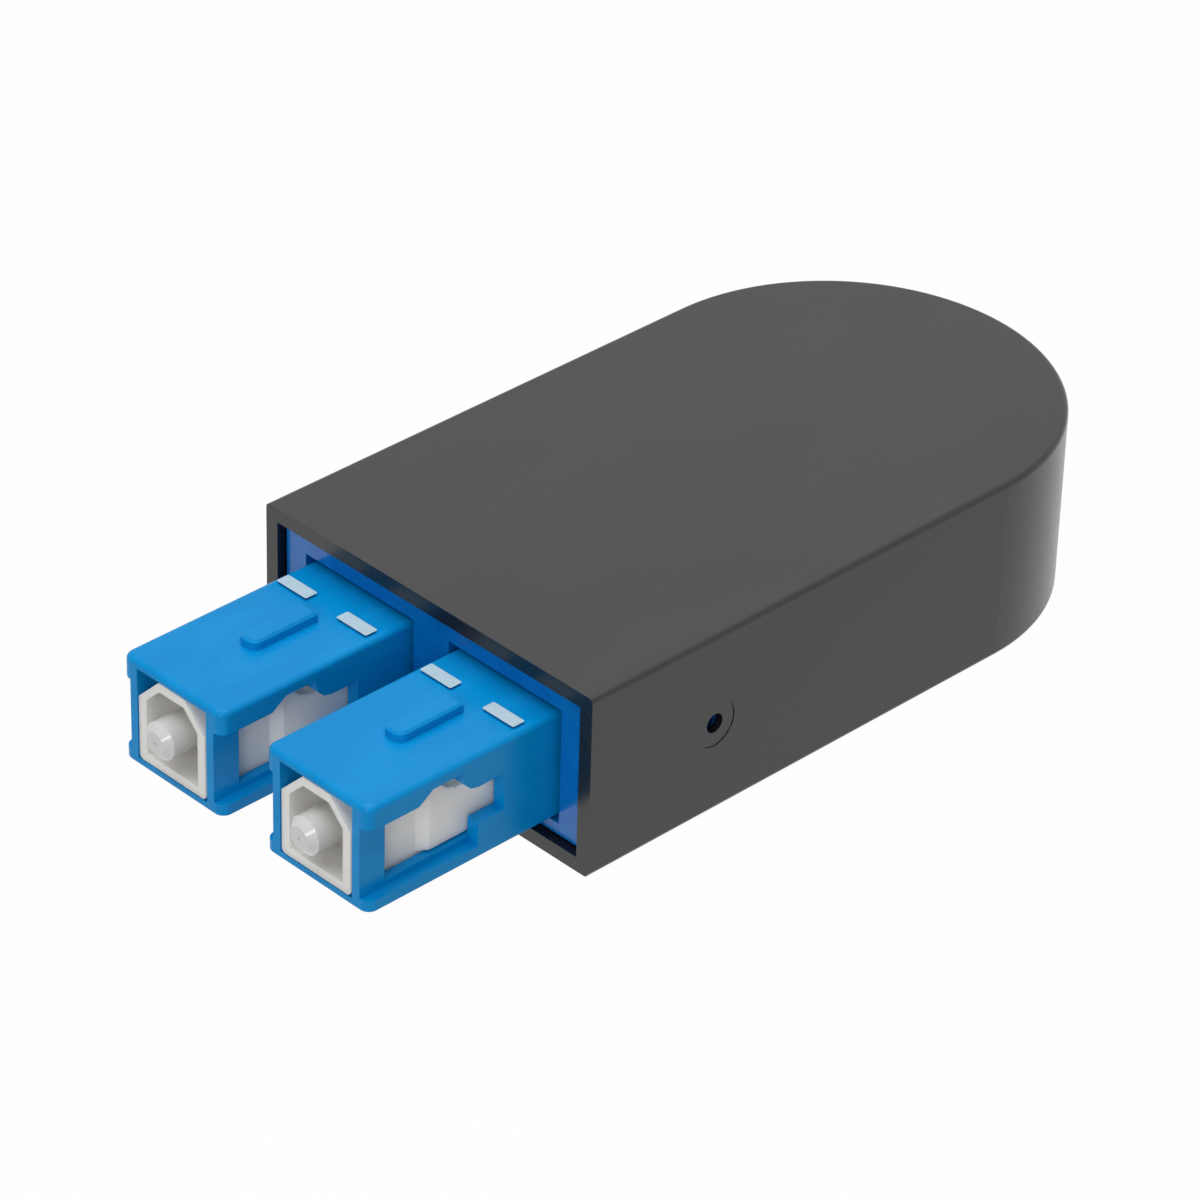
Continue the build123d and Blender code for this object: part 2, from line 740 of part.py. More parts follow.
connector_pieces = {
    "outer_sleeve": outer_sleeve,
    "plug_frame": plug_frame,
    "ferrule": ferrule,
    "ferrule_flange": ferrule_flange,
    "ferrule_spring": ferrule_spring,
    "guide_tube": guide_tube,
    "spring_stop": spring_stop,
    "tail_boot": tail_boot,
}
for piece_name, build_piece in connector_pieces.items():
    piece = build_piece()
    for side_name, x in sides.items():
        save(Pos(x, 0, axis_z) * piece, piece_name + "_" + side_name)
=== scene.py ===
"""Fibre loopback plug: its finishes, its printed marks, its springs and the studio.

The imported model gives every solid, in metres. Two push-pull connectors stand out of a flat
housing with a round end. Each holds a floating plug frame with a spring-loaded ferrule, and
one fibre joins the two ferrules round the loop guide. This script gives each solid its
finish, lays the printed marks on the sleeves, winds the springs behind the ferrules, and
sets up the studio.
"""

import logging
import math
from dataclasses import dataclass, field
from enum import Enum
from typing import Any, Optional, Union

import bmesh
import bpy
from mathutils import Matrix, Vector


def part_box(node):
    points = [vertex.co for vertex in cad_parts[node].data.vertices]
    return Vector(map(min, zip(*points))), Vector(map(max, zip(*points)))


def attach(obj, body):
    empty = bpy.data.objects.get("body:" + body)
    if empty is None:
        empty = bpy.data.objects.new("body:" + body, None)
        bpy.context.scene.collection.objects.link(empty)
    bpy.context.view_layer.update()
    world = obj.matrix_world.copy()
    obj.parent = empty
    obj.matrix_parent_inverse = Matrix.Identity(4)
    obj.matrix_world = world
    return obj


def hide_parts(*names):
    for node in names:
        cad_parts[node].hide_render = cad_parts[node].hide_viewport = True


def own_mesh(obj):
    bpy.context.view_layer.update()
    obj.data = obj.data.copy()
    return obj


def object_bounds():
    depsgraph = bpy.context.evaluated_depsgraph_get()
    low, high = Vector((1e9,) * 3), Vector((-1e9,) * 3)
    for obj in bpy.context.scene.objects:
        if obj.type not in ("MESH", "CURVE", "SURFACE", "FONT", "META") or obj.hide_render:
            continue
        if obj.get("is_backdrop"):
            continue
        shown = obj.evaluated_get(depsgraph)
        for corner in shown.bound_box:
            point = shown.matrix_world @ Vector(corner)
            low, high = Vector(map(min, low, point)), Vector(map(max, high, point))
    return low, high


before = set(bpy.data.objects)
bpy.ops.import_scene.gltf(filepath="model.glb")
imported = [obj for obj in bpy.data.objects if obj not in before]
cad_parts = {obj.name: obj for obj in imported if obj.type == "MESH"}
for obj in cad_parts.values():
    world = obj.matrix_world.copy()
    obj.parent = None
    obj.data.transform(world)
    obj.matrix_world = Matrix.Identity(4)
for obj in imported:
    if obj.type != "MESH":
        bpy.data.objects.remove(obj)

LOG = logging.getLogger("loopback_plug")
MM = 0.001

Colour = tuple[float, float, float]
Point = tuple[float, float, float]
Amount = Union[float, "Signal"]
Inputs = dict[Union[str, int], Any]  # a node's inputs, by name or number

WHITE = (1.0, 1.0, 1.0, 1.0)

MADE: dict[str, bpy.types.Material] = {}  # the finishes' own materials, by name


class Side(Enum):
    """The two connectors, named as seen from behind the loop."""

    LEFT = "left"
    RIGHT = "right"


class Piece(Enum):
    """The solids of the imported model, by the start of their node's name."""

    SHELL = "housing_shell"
    PLATE = "front_plate"
    RETAINER = "sleeve_retainer"
    GUIDE = "loop_guide"
    FIBRE = "fibre_loop"
    SLEEVE = "outer_sleeve"
    FRAME = "plug_frame"
    STOP = "spring_stop"
    BOOT = "tail_boot"
    SPRING = "ferrule_spring"
    FERRULE = "ferrule"
    FLANGE = "ferrule_flange"
    TUBE = "guide_tube"


class Signal:
    """A number or a colour that varies over a surface; its operators add Math nodes."""

    def __init__(self, bench: "Bench", socket: bpy.types.NodeSocket) -> None:
        """Keep the bench that lays the nodes and the socket that gives the value."""
        self.bench = bench
        self.socket = socket

    def _math(self, operation: str, *terms: Amount) -> "Signal":
        """Add one Math node.

        Args:
            operation: the node's operation.
            terms: its inputs, in order.

        Returns:
            The node's result.
        """
        return self.bench.signal("ShaderNodeMath", {"operation": operation}, dict(enumerate(terms)))

    def __add__(self, other: Amount) -> "Signal":
        """This plus other."""
        return self._math("ADD", self, other)

    def __radd__(self, other: float) -> "Signal":
        """A plain number plus this."""
        return self._math("ADD", other, self)

    def __sub__(self, other: Amount) -> "Signal":
        """This less other."""
        return self._math("SUBTRACT", self, other)

    def __mul__(self, other: Amount) -> "Signal":
        """This times other."""
        return self._math("MULTIPLY", self, other)

    def __abs__(self) -> "Signal":
        """This without its sign."""
        return self._math("ABSOLUTE", self)

    def root(self) -> "Signal":
        """The square root of this."""
        return self._math("SQRT", self)

    def larger(self, other: Amount) -> "Signal":
        """The larger of this and other."""
        return self._math("MAXIMUM", self, other)

    def ramp(self, start: float, end: float) -> "Signal":
        """A smooth step over this value.

        Args:
            start: where the step is 0.
            end: where it is 1; it may lie below start.

        Returns:
            A mask from 0 to 1.
        """
        ends = {"From Min": start, "From Max": end, "To Min": 0.0, "To Max": 1.0}
        return self.bench.signal(
            "ShaderNodeMapRange", {"interpolation_type": "SMOOTHSTEP"}, {"Value": self, **ends}
        )


class Bench:
    """Lays the nodes of one tree and wires them."""

    def __init__(self, tree: bpy.types.NodeTree) -> None:
        """Start from an empty tree."""
        self.tree = tree
        tree.nodes.clear()
        self._place: Optional[Signal] = None

    def node(
        self,
        kind: str,
        settings: Optional[dict[str, Any]] = None,
        sockets: Optional[Inputs] = None,
    ) -> bpy.types.Node:
        """Add any node.

        Args:
            kind: the node's type.
            settings: its settings, set first.
            sockets: its inputs by name or number, each a plain value, a signal or a socket.

        Returns:
            The node.
        """
        made = self.tree.nodes.new(kind)
        for name, setting in (settings or {}).items():
            setattr(made, name, setting)
        for key, value in (sockets or {}).items():
            if isinstance(value, Signal):
                self.tree.links.new(value.socket, made.inputs[key])
            elif isinstance(value, bpy.types.NodeSocket):
                self.tree.links.new(value, made.inputs[key])
            else:
                made.inputs[key].default_value = value
        return made

    def signal(
        self,
        kind: str,
        settings: Optional[dict[str, Any]] = None,
        sockets: Optional[Inputs] = None,
        output: Union[str, int] = 0,
    ) -> Signal:
        """Add any node and give one of its outputs, as a signal."""
        return Signal(self, self.node(kind, settings, sockets).outputs[output])

    def place(self) -> Signal:
        """The point on the piece, in metres in the shared frame."""
        if self._place is None:
            self._place = self.signal("ShaderNodeTexCoord", output="Object")
        return self._place

    def axes(self) -> tuple[Signal, Signal, Signal]:
        """The point's x, y and z, as three signals."""
        parts = self.node("ShaderNodeSeparateXYZ", {}, {0: self.place()})
        x, y, z = (Signal(self, part) for part in parts.outputs)
        return x, y, z

    def noise(
        self,
        grain: float,
        detail: float = 2.0,
        stretch: Point = (1.0, 1.0, 1.0),
        shift: float = 0.0,
    ) -> Signal:
        """Soft random mottle.

        Args:
            grain: the size of its spots, in metres.
            detail: how many finer layers it has.
            stretch: how much closer the spots stand along x, y and z.
            shift: moves the pattern, so that two of one grain differ.

        Returns:
            A value round one half.
        """
        spot = self.place()
        if stretch != (1.0, 1.0, 1.0) or shift:
            sockets = {"Vector": spot, "Scale": stretch, "Location": (shift, shift, shift)}
            spot = self.signal("ShaderNodeMapping", {}, sockets)
        sockets = {"Vector": spot, "Scale": 1.0 / grain, "Detail": detail, "Roughness": 0.55}
        return self.signal("ShaderNodeTexNoise", {"noise_dimensions": "3D"}, sockets, "Fac")

    def blend(
        self, mask: Signal, low: Union[Colour, Signal], high: Union[Colour, Signal]
    ) -> Signal:
        """Go from one colour to another as a mask goes from 0 to 1."""
        ends = [end if isinstance(end, Signal) else (*end, 1.0) for end in (low, high)]
        settings = {"data_type": "RGBA", "clamp_factor": True}
        return self.signal("ShaderNodeMix", settings, {0: mask, 6: ends[0], 7: ends[1]}, 2)

    def relief(self, height: Signal, depth: float) -> Signal:
        """Turn a height from 0 to 1 into a bumped normal."""
        sockets = {"Height": height, "Distance": depth, "Strength": 1.0}
        return self.signal("ShaderNodeBump", {}, sockets)


class Finish:
    """What each finish shares: it makes its material once and gives it again."""

    name: str

    def surface(self, bench: Bench) -> dict[str, Any]:
        """The inputs of the finish's shader; each finish has its own."""
        raise NotImplementedError

    def material(self) -> bpy.types.Material:
        """The finish's material, made at the first call."""
        if self.name not in MADE:
            made = bpy.data.materials.new(self.name)
            made.use_nodes = True
            bench = Bench(made.node_tree)
            shader = bench.node("ShaderNodeBsdfPrincipled", {}, self.surface(bench))
            bench.node("ShaderNodeOutputMaterial", {}, {"Surface": shader.outputs[0]})
            MADE[self.name] = made
        return MADE[self.name]


@dataclass(frozen=True)
class TexturedMoulding(Finish):
    """Moulded plastic whose skin has the fine grain of a spark-eroded mould.

    Attributes:
        name: the material's name.
        colour: the plastic's colour.
        pale: the colour of the grain's worn tops.
        roughness: the middle of its roughness.
        grain: the size of the grain, in metres.
        depth: the depth of the grain, in metres.
        index: how strongly it bends light, which sets its reflection.
    """

    name: str
    colour: Colour
    pale: Colour
    roughness: float
    grain: float
    depth: float
    index: float = 1.5

    def surface(self, bench: Bench) -> dict[str, Any]:
        """Grain in the relief and the colour, with a slow drift from the flow of the melt."""
        grain = bench.noise(self.grain, 1.5)
        fine = bench.noise(self.grain * 0.45, 1.0, shift=0.013)
        drift = bench.noise(7.0 * MM, 2.0, (1.0, 0.45, 1.0))
        worn = (grain * 0.6 + fine * 0.4).ramp(0.42, 0.66)
        tone = (worn * 0.55 + drift.ramp(0.25, 0.8) * 0.45).ramp(0.0, 1.0)
        return {
            "Base Color": bench.blend(tone, self.colour, self.pale),
            "Roughness": self.roughness + (drift - 0.5) * 0.06 - (worn - 0.5) * 0.03,
            "IOR": self.index,
            "Normal": bench.relief(grain * 0.65 + fine * 0.35, self.depth),
        }


@dataclass(frozen=True)
class PolishedMoulding(Finish):
    """Moulded plastic from a polished mould: smooth, with faint flow and handling marks.

    Attributes:
        name: the material's name.
        colour: the plastic's colour.
        pale: the colour where the melt ran thin.
        roughness: the middle of its roughness.
        ripple: the depth of the slow waviness of its faces, in metres.
        shine: the strength of its reflection.
        depth: how far light spreads inside it, in metres, or 0 for an opaque plastic.
    """

    name: str
    colour: Colour
    pale: Colour
    roughness: float
    ripple: float
    shine: float = 0.5
    depth: float = 0.0

    def surface(self, bench: Bench) -> dict[str, Any]:
        """Flow lines along the connector, fine scuffs in the gloss, and a slight waviness."""
        flow = bench.noise(2.4 * MM, 3.0, (1.0, 0.3, 1.0))
        scuff = bench.noise(0.16 * MM, 3.0, (1.0, 0.22, 1.0), 0.007)
        skin = bench.noise(0.09 * MM, 1.0)
        tone = (flow.ramp(0.3, 0.75) * 0.85 + scuff * 0.15).ramp(0.0, 1.0)
        spread = {}
        if self.depth:
            spread = {
                "Subsurface Weight": 0.6,
                "Subsurface Radius": (1.0, 0.95, 0.9),
                "Subsurface Scale": self.depth,
            }
        return {
            "Base Color": bench.blend(tone, self.colour, self.pale),
            "Roughness": self.roughness + (scuff - 0.5) * 0.08 + (flow - 0.5) * 0.06,
            "Specular IOR Level": self.shine,
            "Normal": bench.relief(flow * 0.8 + skin * 0.2, self.ripple),
            **spread,
        }


@dataclass(frozen=True)
class PolishedZirconia(Finish):
    """Ground and polished ceramic, with the end of the fibre in the middle of its tip.

    Attributes:
        name: the material's name.
        axis_x: the ferrules' distance from the middle of the plug, in metres.
        axis_z: their height, in metres.
        colour: the ceramic's colour.
        deep: its colour where light goes further in.
        glass: the colour of the fibre's end.
        glass_radius: the radius of that end, in metres.
        bead_radius: the radius of the bead of glue round it.
    """

    name: str
    axis_x: float
    axis_z: float
    colour: Colour = (0.66, 0.66, 0.655)
    deep: Colour = (0.59, 0.59, 0.58)
    glass: Colour = (0.34, 0.36, 0.39)
    glass_radius: float = 0.065 * MM
    bead_radius: float = 0.13 * MM

    def surface(self, bench: Bench) -> dict[str, Any]:
        """Fine grinding rings round the axis, and a small grey disc for the fibre's end."""
        x, _, z = bench.axes()
        across = abs(x) - self.axis_x
        up = z - self.axis_z
        radius = (across * across + up * up).root()
        edge, soft_edge = 0.01 * MM, 0.03 * MM
        fibre = radius.ramp(self.glass_radius + edge, self.glass_radius - edge)
        bead = radius.ramp(self.bead_radius + soft_edge, self.bead_radius - soft_edge) * 0.35
        rings = bench.noise(0.05 * MM, 2.0, (0.05, 1.0, 0.05))
        cloud = bench.noise(1.1 * MM, 2.0)
        depths = cloud.ramp(0.3, 0.75) * 0.5 + rings * 0.2
        ceramic = bench.blend(depths, self.colour, self.deep)
        return {
            "Base Color": bench.blend(fibre.larger(bead), ceramic, self.glass),
            "Roughness": 0.11 + rings * 0.10,
            "Coat Weight": 0.3,
            "Coat Roughness": 0.04,
            "Normal": bench.relief(rings, 0.0015 * MM),
        }


@dataclass(frozen=True)
class TurnedMetal(Finish):
    """Plated metal with the fine rings that a lathe leaves.

    Attributes:
        name: the material's name.
        colour: the metal's colour.
        dull: its colour where the plating is thin or marked.
        roughness: the middle of its roughness.
        ring: the distance between the tool's rings, in metres.
    """

    name: str
    colour: Colour
    dull: Colour
    roughness: float
    ring: float

    def surface(self, bench: Bench) -> dict[str, Any]:
        """Rings across the axis in the relief, and cloudy marks in the plating."""
        rings = bench.noise(self.ring, 1.0, (0.04, 1.0, 0.04))
        cloud = bench.noise(0.6 * MM, 3.0)
        return {
            "Base Color": bench.blend(cloud.ramp(0.4, 0.8), self.colour, self.dull),
            "Metallic": 1.0,
            "Roughness": self.roughness + (rings - 0.5) * 0.16 + (cloud - 0.5) * 0.12,
            "Normal": bench.relief(rings, 0.004 * MM),
        }


@dataclass(frozen=True)
class SoftTube(Finish):
    """Extruded or moulded soft plastic: a smooth skin with faint lines along it.

    Attributes:
        name: the material's name.
        colour: its colour.
        pale: its colour where it is thin or rubbed.
        roughness: the middle of its roughness.
        dust: the share of the surface with a light bloom.
    """

    name: str
    colour: Colour
    pale: Colour
    roughness: float
    dust: float

    def surface(self, bench: Bench) -> dict[str, Any]:
        """Lines from the die, and a bloom in patches."""
        lines = bench.noise(0.14 * MM, 2.0, (1.0, 0.12, 1.0))
        bloom = bench.noise(1.3 * MM, 3.0, shift=0.021)
        patch = bloom.ramp(0.75 - self.dust, 0.85)
        tone = (patch + lines * 0.25).ramp(0.0, 1.25)
        return {
            "Base Color": bench.blend(tone, self.colour, self.pale),
            "Roughness": self.roughness + patch * 0.14 + (lines - 0.5) * 0.10,
            "Normal": bench.relief(lines * 0.7 + bloom * 0.3, 0.006 * MM),
        }


@dataclass(frozen=True)
class PadPrint(Finish):
    """Opaque pad-printing ink: matt, with the tiny pits that a pad leaves.

    Attributes:
        name: the material's name.
        colour: the ink's colour.
        thin: its colour where less ink lies.
    """

    name: str
    colour: Colour
    thin: Colour

    def surface(self, bench: Bench) -> dict[str, Any]:
        """Pits and thin spots in the ink."""
        pits = bench.noise(0.11 * MM, 2.0)
        thin = bench.noise(0.5 * MM, 2.0, shift=0.004)
        worn = (pits * 0.5 + thin * 0.5).ramp(0.45, 0.72)
        return {
            "Base Color": bench.blend(worn, self.colour, self.thin),
            "Roughness": 0.52 + (pits - 0.5) * 0.2,
            "Specular IOR Level": 0.35,
            "Normal": bench.relief(pits, 0.006 * MM),
        }


def node_name(piece: Piece, side: Optional[Side] = None) -> str:
    """The name of a solid's node, on one side where there is one on each."""
    return piece.value if side is None else f"{piece.value}_{side.value}"


def box_ends(piece: Piece, side: Side) -> tuple[Vector, Vector]:
    """The lowest and the highest corner of a solid's box at rest."""
    low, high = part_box(node_name(piece, side))
    return Vector(low), Vector(high)


def dress(piece: Piece, finish: Finish, side: Optional[Side] = None) -> None:
    """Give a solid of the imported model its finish.

    Args:
        piece: the solid.
        finish: its finish.
        side: the connector it belongs to, where there is one on each.
    """
    name = node_name(piece, side)
    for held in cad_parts[name].material_slots:
        held.material = finish.material()
    LOG.info("dressed %s in %s", name, finish.name)


def new_tree(name: str, sizes: tuple[str, ...], place: str, finish: str) -> bpy.types.NodeTree:
    """Make an empty tree of Geometry Nodes with named inputs.

    Args:
        name: the tree's name.
        sizes: the names of its numbers.
        place: the name of its point.
        finish: the name of its material.

    Returns:
        The tree, which gives a geometry.
    """
    tree = bpy.data.node_groups.new(name, "GeometryNodeTree")
    kinds = {size: "NodeSocketFloat" for size in sizes}
    kinds |= {place: "NodeSocketVector", finish: "NodeSocketMaterial"}
    for label, kind in kinds.items():
        tree.interface.new_socket(label, in_out="INPUT", socket_type=kind)
    tree.interface.new_socket("Geometry", in_out="OUTPUT", socket_type="NodeSocketGeometry")
    return tree


def outward(mesh: bpy.types.Mesh) -> None:
    """Turn a closed mesh's faces outwards, in place."""
    shape = bmesh.new()
    shape.from_mesh(mesh)
    bmesh.ops.recalc_face_normals(shape, faces=shape.faces)
    shape.to_mesh(mesh)
    shape.free()


def grown(name: str, tree: bpy.types.NodeTree, given: dict[str, Any]) -> bpy.types.Object:
    """Run a node tree once and keep what it makes as a piece with a plain mesh.

    Args:
        name: the piece's name.
        tree: the tree of Geometry Nodes.
        given: a value for each of its named inputs.

    Returns:
        The piece, at the origin and in the scene.
    """
    holder = bpy.data.objects.new(f"{name}_holder", bpy.data.meshes.new(f"{name}_holder"))
    bpy.context.scene.collection.objects.link(holder)
    modifier = holder.modifiers.new(name, "NODES")
    modifier.node_group = tree
    for item in tree.interface.items_tree:
        if item.in_out == "INPUT":
            modifier[item.identifier] = given[item.name]
    holder.update_tag()
    seen = holder.evaluated_get(bpy.context.evaluated_depsgraph_get())
    mesh = bpy.data.meshes.new_from_object(seen)
    mesh.name = name
    bpy.data.objects.remove(holder)
    outward(mesh)
    piece = bpy.data.objects.new(name, mesh)
    bpy.context.scene.collection.objects.link(piece)
    LOG.info("made %s with %d faces", name, len(mesh.polygons))
    return piece


@dataclass
class LoopHousing:
    """The flat housing with its round end, and what lies still inside it."""

    shell: Finish = TexturedMoulding(
        "shell_black_plastic", (0.006, 0.006, 0.007), (0.012, 0.012, 0.014), 0.26,
        grain=0.16 * MM, depth=0.0014 * MM, index=1.54,
    )
    plate: Finish = PolishedMoulding(
        "plate_blue", (0.0, 0.150, 0.50), (0.002, 0.175, 0.55), 0.20,
        ripple=0.004 * MM, shine=0.46,
    )
    retainer: Finish = TexturedMoulding(
        "retainer_black_plastic", (0.045, 0.045, 0.046), (0.062, 0.062, 0.062), 0.46,
        grain=0.22 * MM, depth=0.008 * MM,
    )
    guide: Finish = TexturedMoulding(
        "guide_black_plastic", (0.050, 0.050, 0.052), (0.068, 0.068, 0.070), 0.48,
        grain=0.20 * MM, depth=0.008 * MM,
    )
    fibre: Finish = SoftTube(
        "yellow_buffer", (0.80, 0.52, 0.03), (0.86, 0.62, 0.10), 0.34, dust=0.25
    )

    def build(self) -> None:
        """Dress the shell, the front plate, the retainer, the guide and the fibre."""
        dress(Piece.SHELL, self.shell)
        dress(Piece.PLATE, self.plate)
        dress(Piece.RETAINER, self.retainer)
        dress(Piece.GUIDE, self.guide)
        dress(Piece.FIBRE, self.fibre)


@dataclass
class InsertionMarks:
    """The white bars printed on the sleeves, one each side of the key.

    Attributes:
        length: a bar's length across the sleeve, in metres.
        width: its width along the sleeve.
        corner: the radius of its corners.
        ink: the thickness of the ink.
        off_centre: a bar's middle from the middle of its sleeve.
        behind_front: a bar's middle behind the front of the sleeve.
        key_height: the key's height above the face that the bars lie on.
        corner_steps: how many points round off a corner.
        print_: the ink.
    """

    length: float = 2.65 * MM
    width: float = 0.95 * MM
    corner: float = 0.12 * MM
    ink: float = 0.02 * MM
    off_centre: float = 2.67 * MM
    behind_front: float = 12.1 * MM
    key_height: float = 0.65 * MM
    corner_steps: int = 5
    print_: Finish = PadPrint("print_white", (0.45, 0.60, 0.69), (0.36, 0.53, 0.65))

    def tree(self) -> bpy.types.NodeTree:
        """Make the node tree that lays the bars.

        Returns:
            The tree, with its sizes as named inputs.
        """
        sizes = ("Length", "Width", "Corner", "Ink", "Pair Gap", "Pitch")
        tree = new_tree("insertion_marks", sizes, "First Bar", "Print")
        bench = Bench(tree)
        given = bench.node("NodeGroupInput").outputs
        bar = bench.signal(
            "GeometryNodeCurvePrimitiveQuadrilateral", {"mode": "RECTANGLE"},
            {"Width": given["Length"], "Height": given["Width"]},
        )
        rounded = bench.signal(
            "GeometryNodeFilletCurve", {"mode": "POLY"},
            {"Curve": bar, "Count": self.corner_steps, "Radius": given["Corner"]},
        )
        face = bench.signal("GeometryNodeFillCurve", {"mode": "NGONS"}, {"Curve": rounded})
        raised = bench.signal(
            "GeometryNodeExtrudeMesh", {}, {"Mesh": face, "Offset Scale": given["Ink"]}
        )
        under = bench.signal("GeometryNodeFlipFaces", {}, {"Mesh": face})
        both = bench.node("GeometryNodeJoinGeometry")
        for part in (raised, under):
            tree.links.new(part.socket, both.inputs[0])
        pad = bench.signal(
            "GeometryNodeMergeByDistance", {}, {"Geometry": both.outputs[0], "Distance": 0.001 * MM}
        )
        laid = self._pair(bench, pad, given["Pair Gap"], given["First Bar"])
        rows = self._pair(bench, laid, given["Pitch"])
        solid = bench.signal("GeometryNodeRealizeInstances", {}, {"Geometry": rows})
        inked = bench.signal(
            "GeometryNodeSetMaterial", {}, {"Geometry": solid, "Material": given["Print"]}
        )
        bench.node("NodeGroupOutput", {}, {"Geometry": inked})
        return tree

    @staticmethod
    def _pair(
        bench: Bench,
        shape: Signal,
        gap: bpy.types.NodeSocket,
        start: Optional[bpy.types.NodeSocket] = None,
    ) -> Signal:
        """Repeat a shape twice along x.

        Args:
            bench: the tree's bench.
            shape: what is repeated.
            gap: the distance between the two.
            start: where the first stands, or none for the shape's own place.

        Returns:
            The two as instances.
        """
        step = bench.signal("ShaderNodeCombineXYZ", {}, {"X": gap})
        sockets: Inputs = {"Count": 2, "Offset": step}
        if start is not None:
            sockets["Start Location"] = start
        line = bench.signal("GeometryNodeMeshLine", {"mode": "OFFSET"}, sockets)
        return bench.signal("GeometryNodeInstanceOnPoints", {}, {"Points": line, "Instance": shape})

    def build(self) -> None:
        """Lay the bars on both sleeves as one plain mesh that rides with the housing."""
        low, high = box_ends(Piece.SLEEVE, Side.LEFT)
        far_low, far_high = box_ends(Piece.SLEEVE, Side.RIGHT)
        middle = (low.x + high.x) / 2
        pitch = (far_low.x + far_high.x) / 2 - middle
        first = middle if pitch > 0 else middle + pitch
        place = (first - self.off_centre, low.y + self.behind_front, high.z - self.key_height)
        given = {
            "Length": self.length, "Width": self.width, "Corner": self.corner, "Ink": self.ink,
            "Pair Gap": 2 * self.off_centre, "Pitch": abs(pitch), "First Bar": place,
            "Print": self.print_.material(),
        }
        marks = grown("insertion_marks", self.tree(), given)
        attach(marks, "housing")


@dataclass
class ConnectorSleeves:
    """The two outer sleeves with the marks printed on them."""

    sleeve: Finish = PolishedMoulding(
        "sleeve_blue", (0.0, 0.254, 0.615), (0.003, 0.282, 0.665), 0.26,
        ripple=0.003 * MM, shine=0.12,
    )
    marks: InsertionMarks = field(default_factory=InsertionMarks)

    def build(self) -> None:
        """Dress both sleeves and print their marks."""
        for side in Side:
            dress(Piece.SLEEVE, self.sleeve, side)
        self.marks.build()


@dataclass
class CoilSpring:
    """The spring behind a ferrule, which shortens as the ferrule is pushed into its plug.

    Attributes:
        wire: the wire's diameter, in metres.
        turns: how many turns it has.
        travel: how far the ferrule's joint moves it; not used.
        steel: its finish.
        turn_steps: how many points one turn has.
        wire_steps: how many sides the wire has.
    """

    wire: float = 0.4 * MM
    turns: float = 7.0
    travel: float = 1.0 * MM
    steel: Finish = TurnedMetal(
        "drawn_steel", (0.56, 0.56, 0.57), (0.42, 0.42, 0.44), 0.24, ring=0.05 * MM
    )
    turn_steps: int = 48
    wire_steps: int = 16

    def tree(self) -> bpy.types.NodeTree:
        """Make the node tree that winds the wire along y.

        Returns:
            The tree, with its sizes as named inputs.
        """
        sizes = ("Turns", "Radius", "Height", "Wire Radius")
        tree = new_tree("coil_spring", sizes, "Start", "Steel")
        bench = Bench(tree)
        given = bench.node("NodeGroupInput").outputs
        path = bench.signal(
            "GeometryNodeCurveSpiral", {},
            {
                "Resolution": self.turn_steps, "Rotations": given["Turns"],
                "Start Radius": given["Radius"], "End Radius": given["Radius"],
                "Height": given["Height"],
            },
        )
        section = bench.signal(
            "GeometryNodeCurvePrimitiveCircle", {"mode": "RADIUS"},
            {"Resolution": self.wire_steps, "Radius": given["Wire Radius"]},
        )
        wound = bench.signal(
            "GeometryNodeCurveToMesh", {},
            {"Curve": path, "Profile Curve": section, "Fill Caps": True},
        )
        along_y = (-math.pi / 2, 0.0, 0.0)
        laid = bench.signal(
            "GeometryNodeTransform", {},
            {"Geometry": wound, "Translation": given["Start"], "Rotation": along_y},
        )
        steel = bench.signal(
            "GeometryNodeSetMaterial", {}, {"Geometry": laid, "Material": given["Steel"]}
        )
        bench.node("NodeGroupOutput", {}, {"Geometry": steel})
        return tree

    def build(self, side: Side) -> None:
        """Wind one spring where the solid one lies, and let it ride with its plug."""
        low, high = box_ends(Piece.SPRING, side)
        middle = (low + high) / 2
        length = high.y - low.y
        half_wire = self.wire / 2
        given = {
            "Turns": self.turns, "Radius": (high.z - low.z - self.wire) / 2,
            "Height": length - self.wire, "Wire Radius": half_wire,
            "Start": (middle.x, low.y + half_wire, middle.z), "Steel": self.steel.material(),
        }
        coil = grown(f"coil_spring_{side.value}", self.tree(), given)
        coil.data.shade_smooth()
        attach(coil, f"plug_{side.value}")
        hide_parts(node_name(Piece.SPRING, side))
        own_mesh(coil)


@dataclass
class FloatingPlugs:
    """The two plug frames, with the stop, the boot and the spring that each carries."""

    plug_frame: Finish = PolishedMoulding(
        "frame_white_plastic", (0.90, 0.87, 0.81), (0.94, 0.91, 0.85), 0.36,
        ripple=0.004 * MM, depth=1.2 * MM,
    )
    stop: Finish = TexturedMoulding(
        "stop_pale_plastic", (0.60, 0.59, 0.56), (0.70, 0.69, 0.66), 0.42,
        grain=0.20 * MM, depth=0.006 * MM,
    )
    boot: Finish = SoftTube(
        "soft_blue_boot", (0.012, 0.15, 0.40), (0.05, 0.24, 0.50), 0.58, dust=0.3
    )
    spring: CoilSpring = field(default_factory=CoilSpring)

    def build(self) -> None:
        """Dress both plugs and wind their springs."""
        for side in Side:
            dress(Piece.FRAME, self.plug_frame, side)
            dress(Piece.STOP, self.stop, side)
            dress(Piece.BOOT, self.boot, side)
            self.spring.build(side)


